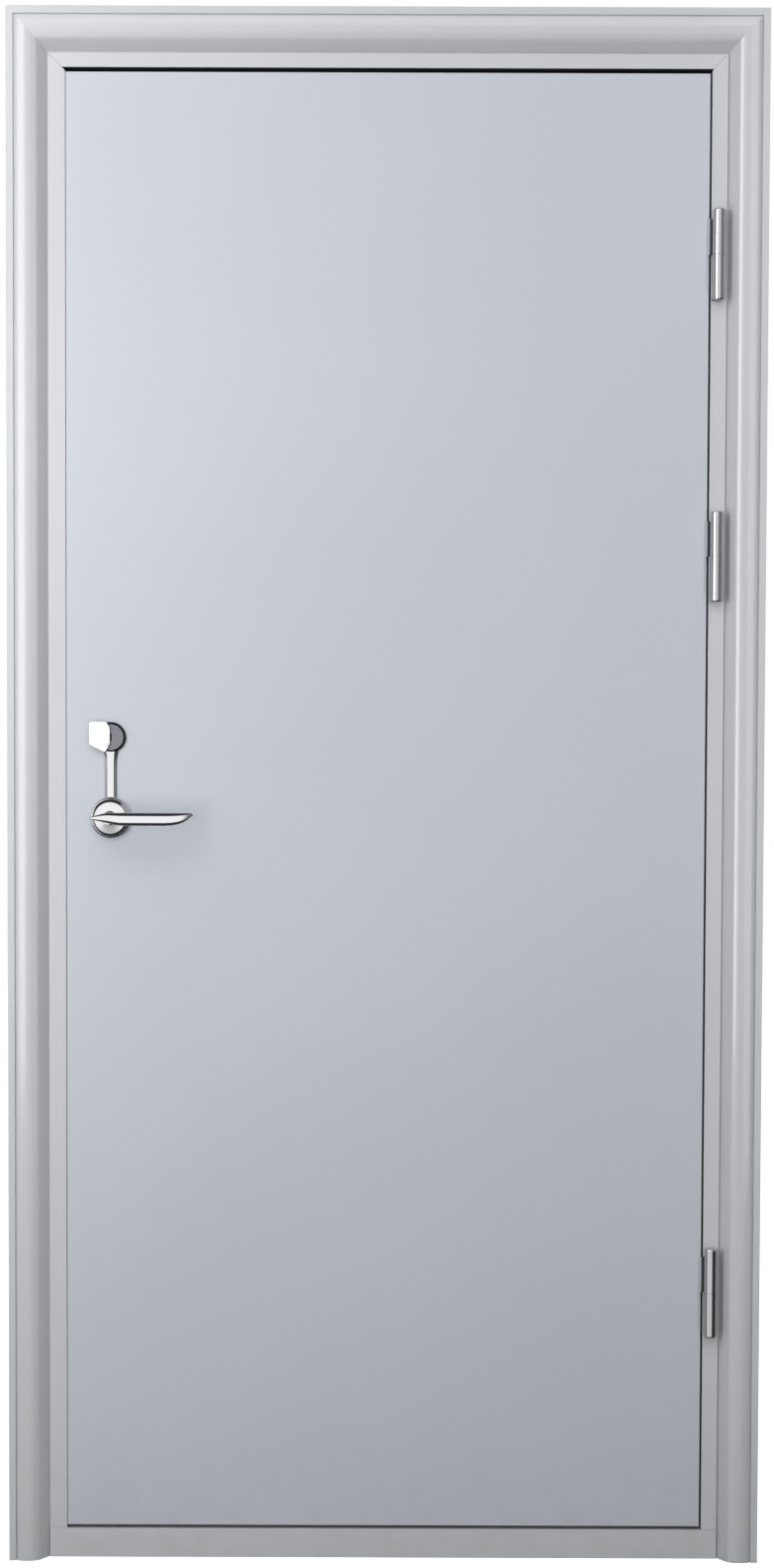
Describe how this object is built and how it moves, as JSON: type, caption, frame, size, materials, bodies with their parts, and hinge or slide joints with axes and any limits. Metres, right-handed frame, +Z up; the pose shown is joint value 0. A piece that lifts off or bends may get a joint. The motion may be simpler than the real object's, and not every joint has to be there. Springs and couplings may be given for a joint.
{
  "type": "entrance door",
  "caption": "Flush single-leaf steel entrance door in a mitred frame with rounded moulding, barrel hinges, lever handle and swinging keyhole cover.",
  "frame": {"origin": "on the underside of the threshold, at the middle of the frame's width and depth", "axes": "+X to the right seen from outside (hinge side), +Y from the outside to the inside, +Z up"},
  "size_m": [1.02, 0.165, 2.1],
  "materials": {
    "frame_paint": "satin",
    "leaf_paint": "satin",
    "seal_rubber": "matte",
    "hinge_steel": "satin",
    "lock_steel": "satin",
    "core_wool": "matte",
    "handle_chrome": "polished",
    "insert_dark": "satin",
    "cover_bright": "polished"
  },
  "bodies": {
    "frame": {"left_jamb": "frame_paint", "right_jamb": "frame_paint", "head": "frame_paint", "left_stop": "frame_paint", "right_stop": "frame_paint", "head_stop": "frame_paint", "threshold": "frame_paint", "left_moulding": "frame_paint", "right_moulding": "frame_paint", "head_moulding": "frame_paint", "left_seal": "seal_rubber", "right_seal": "seal_rubber", "head_seal": "seal_rubber", "threshold_seal": "seal_rubber", "keep_plate": "lock_steel", "top_frame_hinge": "hinge_steel", "middle_frame_hinge": "hinge_steel", "bottom_frame_hinge": "hinge_steel", "top_hinge_pin": "hinge_steel", "middle_hinge_pin": "hinge_steel", "bottom_hinge_pin": "hinge_steel"},
    "leaf": {"leaf_front_sheet": "leaf_paint", "leaf_back_sheet": "leaf_paint", "leaf_core": "core_wool", "leaf_top_channel": "leaf_paint", "leaf_bottom_channel": "leaf_paint", "forend_plate": "lock_steel", "latch_bolt": "lock_steel", "dead_bolt": "lock_steel", "lock_case": "lock_steel", "top_leaf_hinge": "hinge_steel", "middle_leaf_hinge": "hinge_steel", "bottom_leaf_hinge": "hinge_steel", "outside_backplate": "handle_chrome", "inside_backplate": "handle_chrome", "outside_key_insert": "insert_dark", "inside_key_insert": "insert_dark", "cover_pin": "handle_chrome"},
    "handle": {"outside_lever": "handle_chrome", "inside_lever": "handle_chrome", "spindle": "lock_steel"},
    "cover": {"key_cover": "cover_bright"}
  },
  "joints": [
    {"name": "leaf_swing", "type": "hinge", "parent": "frame", "child": "leaf", "pos_m": [0.4445, -0.0595, 1], "axis": [0, 0, 1], "range_deg": [0, 120]},
    {"name": "lever_turn", "type": "hinge", "parent": "leaf", "child": "handle", "pos_m": [-0.372, -0.025, 1.015], "axis": [0, 1, 0], "range_deg": [0, 45], "stiffness_Nm_per_rad": 2, "springref_deg": -20.05},
    {"name": "cover_swing", "type": "hinge", "parent": "leaf", "child": "cover", "pos_m": [-0.377, -0.0585, 1.1145], "axis": [0, 1, 0], "range_deg": [0, 70]}
  ]
}
